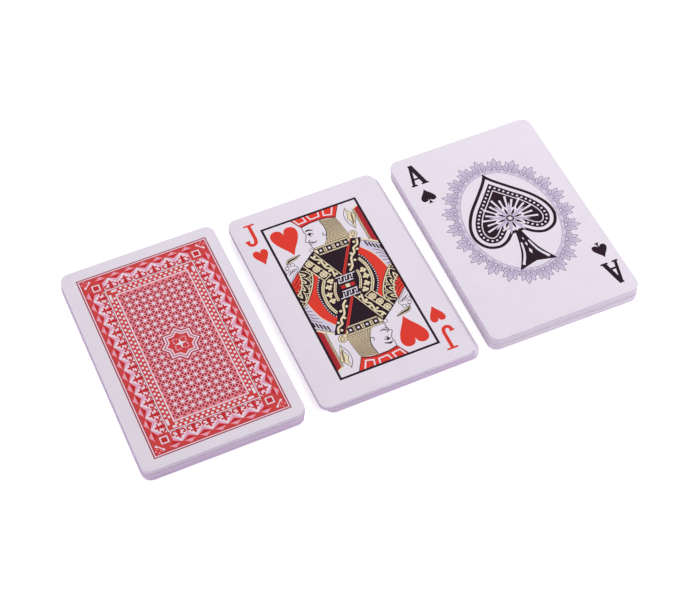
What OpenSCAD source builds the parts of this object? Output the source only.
// Deck of plastic playing cards, cut into three packets that lie side by side on a table.
// Lengths are in millimetres and angles in degrees. X runs along the row of packets, Y along
// the cards towards their upper ends, and Z up from the table. The origin is on the table, below
// the middle of the row.

/* [Card] */
// Width of a card
card_width = 58; // [50:0.5:70]
// Length of a card
card_length = 88; // [75:0.5:100]
// Thickness of a card
card_thickness = 0.28; // [0.2:0.01:0.4]
// Radius of a card's corners
corner_radius = 3.5; // [1.5:0.1:6]

/* [Packets] */
// Cards in the left packet
left_count = 21; // [2:1:26]
// Cards in the middle packet, the right one holds the rest of the deck
middle_count = 14; // [2:1:26]
// Air between one card and the next
air_gap = 0.02; // [0.01:0.005:0.05]
// Clear space between the left and middle packets
left_space = 5.4; // [4:0.1:20]
// Clear space between the middle and right packets
right_space = 6.4; // [4:0.1:20]

/* [Squaring] */
// Groups of cards that cling together in the left packet
left_groups = 4; // [2:1:8]
// Groups of cards that cling together in the middle packet
middle_groups = 2; // [2:1:8]
// Groups of cards that cling together in the right packet
right_groups = 4; // [2:1:8]
// Shift across from the bottom to the top group of the left packet
left_lean = 0.1; // [-2:0.05:2]
// Shift across from the bottom to the top group of the middle packet
middle_lean = -1.7; // [-2:0.05:2]
// Shift across from the bottom to the top group of the right packet
right_lean = 0.15; // [-2:0.05:2]
// Shift along the cards from the bottom to the top group of the left packet
left_slide = -0.1; // [-2:0.05:2]
// Shift along the cards from the bottom to the top group of the middle packet
middle_slide = 0.3; // [-2:0.05:2]
// Shift along the cards from the bottom to the top group of the right packet
right_slide = 0.45; // [-2:0.05:2]
// Turn of the left packet's top group
left_turn = 0.15; // [-0.5:0.05:0.5]
// Turn of the middle packet's top group
middle_turn = 0.1; // [-0.5:0.05:0.5]
// Turn of the right packet's top group
right_turn = -0.25; // [-0.5:0.05:0.5]
// Turn from the top to the bottom group of the left packet
left_twist = -0.1; // [-0.6:0.05:0.6]
// Turn from the top to the bottom group of the middle packet
middle_twist = 0.2; // [-0.6:0.05:0.6]
// Turn from the top to the bottom group of the right packet
right_twist = -0.55; // [-0.6:0.05:0.6]
// How far a group between the top and bottom ones slips out of line
slip = 0.3; // [0:0.05:0.6]
// How far each card strays from its group
stray = 0.06; // [0:0.01:0.2]

/* [Hidden] */
$fn = 64;

RANKS = [
    "ace", "two", "three", "four", "five", "six", "seven",
    "eight", "nine", "ten", "jack", "queen", "king"
];
SUITS = ["spades", "hearts", "clubs", "diamonds"];
JOKERS = ["black_joker", "red_joker"];
NODES = concat([for (suit = SUITS) for (rank = RANKS) str(rank, "_of_", suit)], JOKERS);

card_colour = [0.87, 0.84, 0.89];
card_pitch = card_thickness + air_gap;

// The packets, from left to right: cards, groups, middle along the row, lean, slide, turn and twist.
right_count = len(NODES) - left_count - middle_count;
row_length = 3 * card_width + left_space + right_space;
left_x = (card_width - row_length) / 2;
middle_x = left_x + card_width + left_space;
right_x = middle_x + card_width + right_space;
PACKETS = [
    [left_count, left_groups, left_x, left_lean, left_slide, left_turn, left_twist],
    [middle_count, middle_groups, middle_x, middle_lean, middle_slide, middle_turn, middle_twist],
    [right_count, right_groups, right_x, right_lean, right_slide, right_turn, right_twist]
];

// Turn between the directions in which one card and the next stray, and one group and the next slip.
stray_angle = 137.5;

// The shuffled order: from each card to the next one up, the sorted deck is counted on by the
// length of a suit. Places count upwards from the bottom of the left packet to the top of the
// right one.
function card_at(place) = (len(RANKS) * (place + 1)) % len(NODES);

function place_of(id) = [for (place = [0 : len(NODES) - 1]) if (card_at(place) == id) place][0];

function packet_of(place) =
    place < left_count ? 0
    : place < left_count + middle_count ? 1
    : 2;

function first_place(packet) =
    packet == 0 ? 0
    : first_place(packet - 1) + PACKETS[packet - 1][0];

// Outline of a card: a rectangle with round corners.
module card_outline() {
    square([card_width - 2 * corner_radius, card_length], center = true);
    square([card_width, card_length - 2 * corner_radius], center = true);
    for (side = [-1, 1], end = [-1, 1])
        translate([side * (card_width / 2 - corner_radius), end * (card_length / 2 - corner_radius)])
            circle(corner_radius);
}

// One card, lying at its place in the cut deck. A packet was knocked square by hand, so its cards
// cling together in groups. The groups shift and twist in even steps from the top one down, those
// in between slip a little, and each card strays in a direction of its own.
module playing_card(id) {
    place = place_of(id);
    packet = packet_of(place);
    level = place - first_place(packet);
    count = PACKETS[packet][0];
    groups = PACKETS[packet][1];
    packet_x = PACKETS[packet][2];
    lean = PACKETS[packet][3];
    slide = PACKETS[packet][4];
    turn = PACKETS[packet][5];
    twist = PACKETS[packet][6];

    group = floor((count - 1 - level) * groups / count);
    group_share = group / (groups - 1);
    group_slip = slip * sin(180 * group_share);
    slip_turn = (packet + group) * stray_angle;
    stray_turn = place * stray_angle;
    x = packet_x - lean * group_share + group_slip * sin(slip_turn) + stray * sin(stray_turn);
    y = -slide * group_share + group_slip * cos(slip_turn) + stray * cos(stray_turn);

    color(card_colour)
        translate([x, y, level * card_pitch])
            rotate([0, 0, turn + twist * group_share])
                linear_extrude(card_thickness)
                    card_outline();
}

for (id = [0 : len(NODES) - 1])
    playing_card(id);
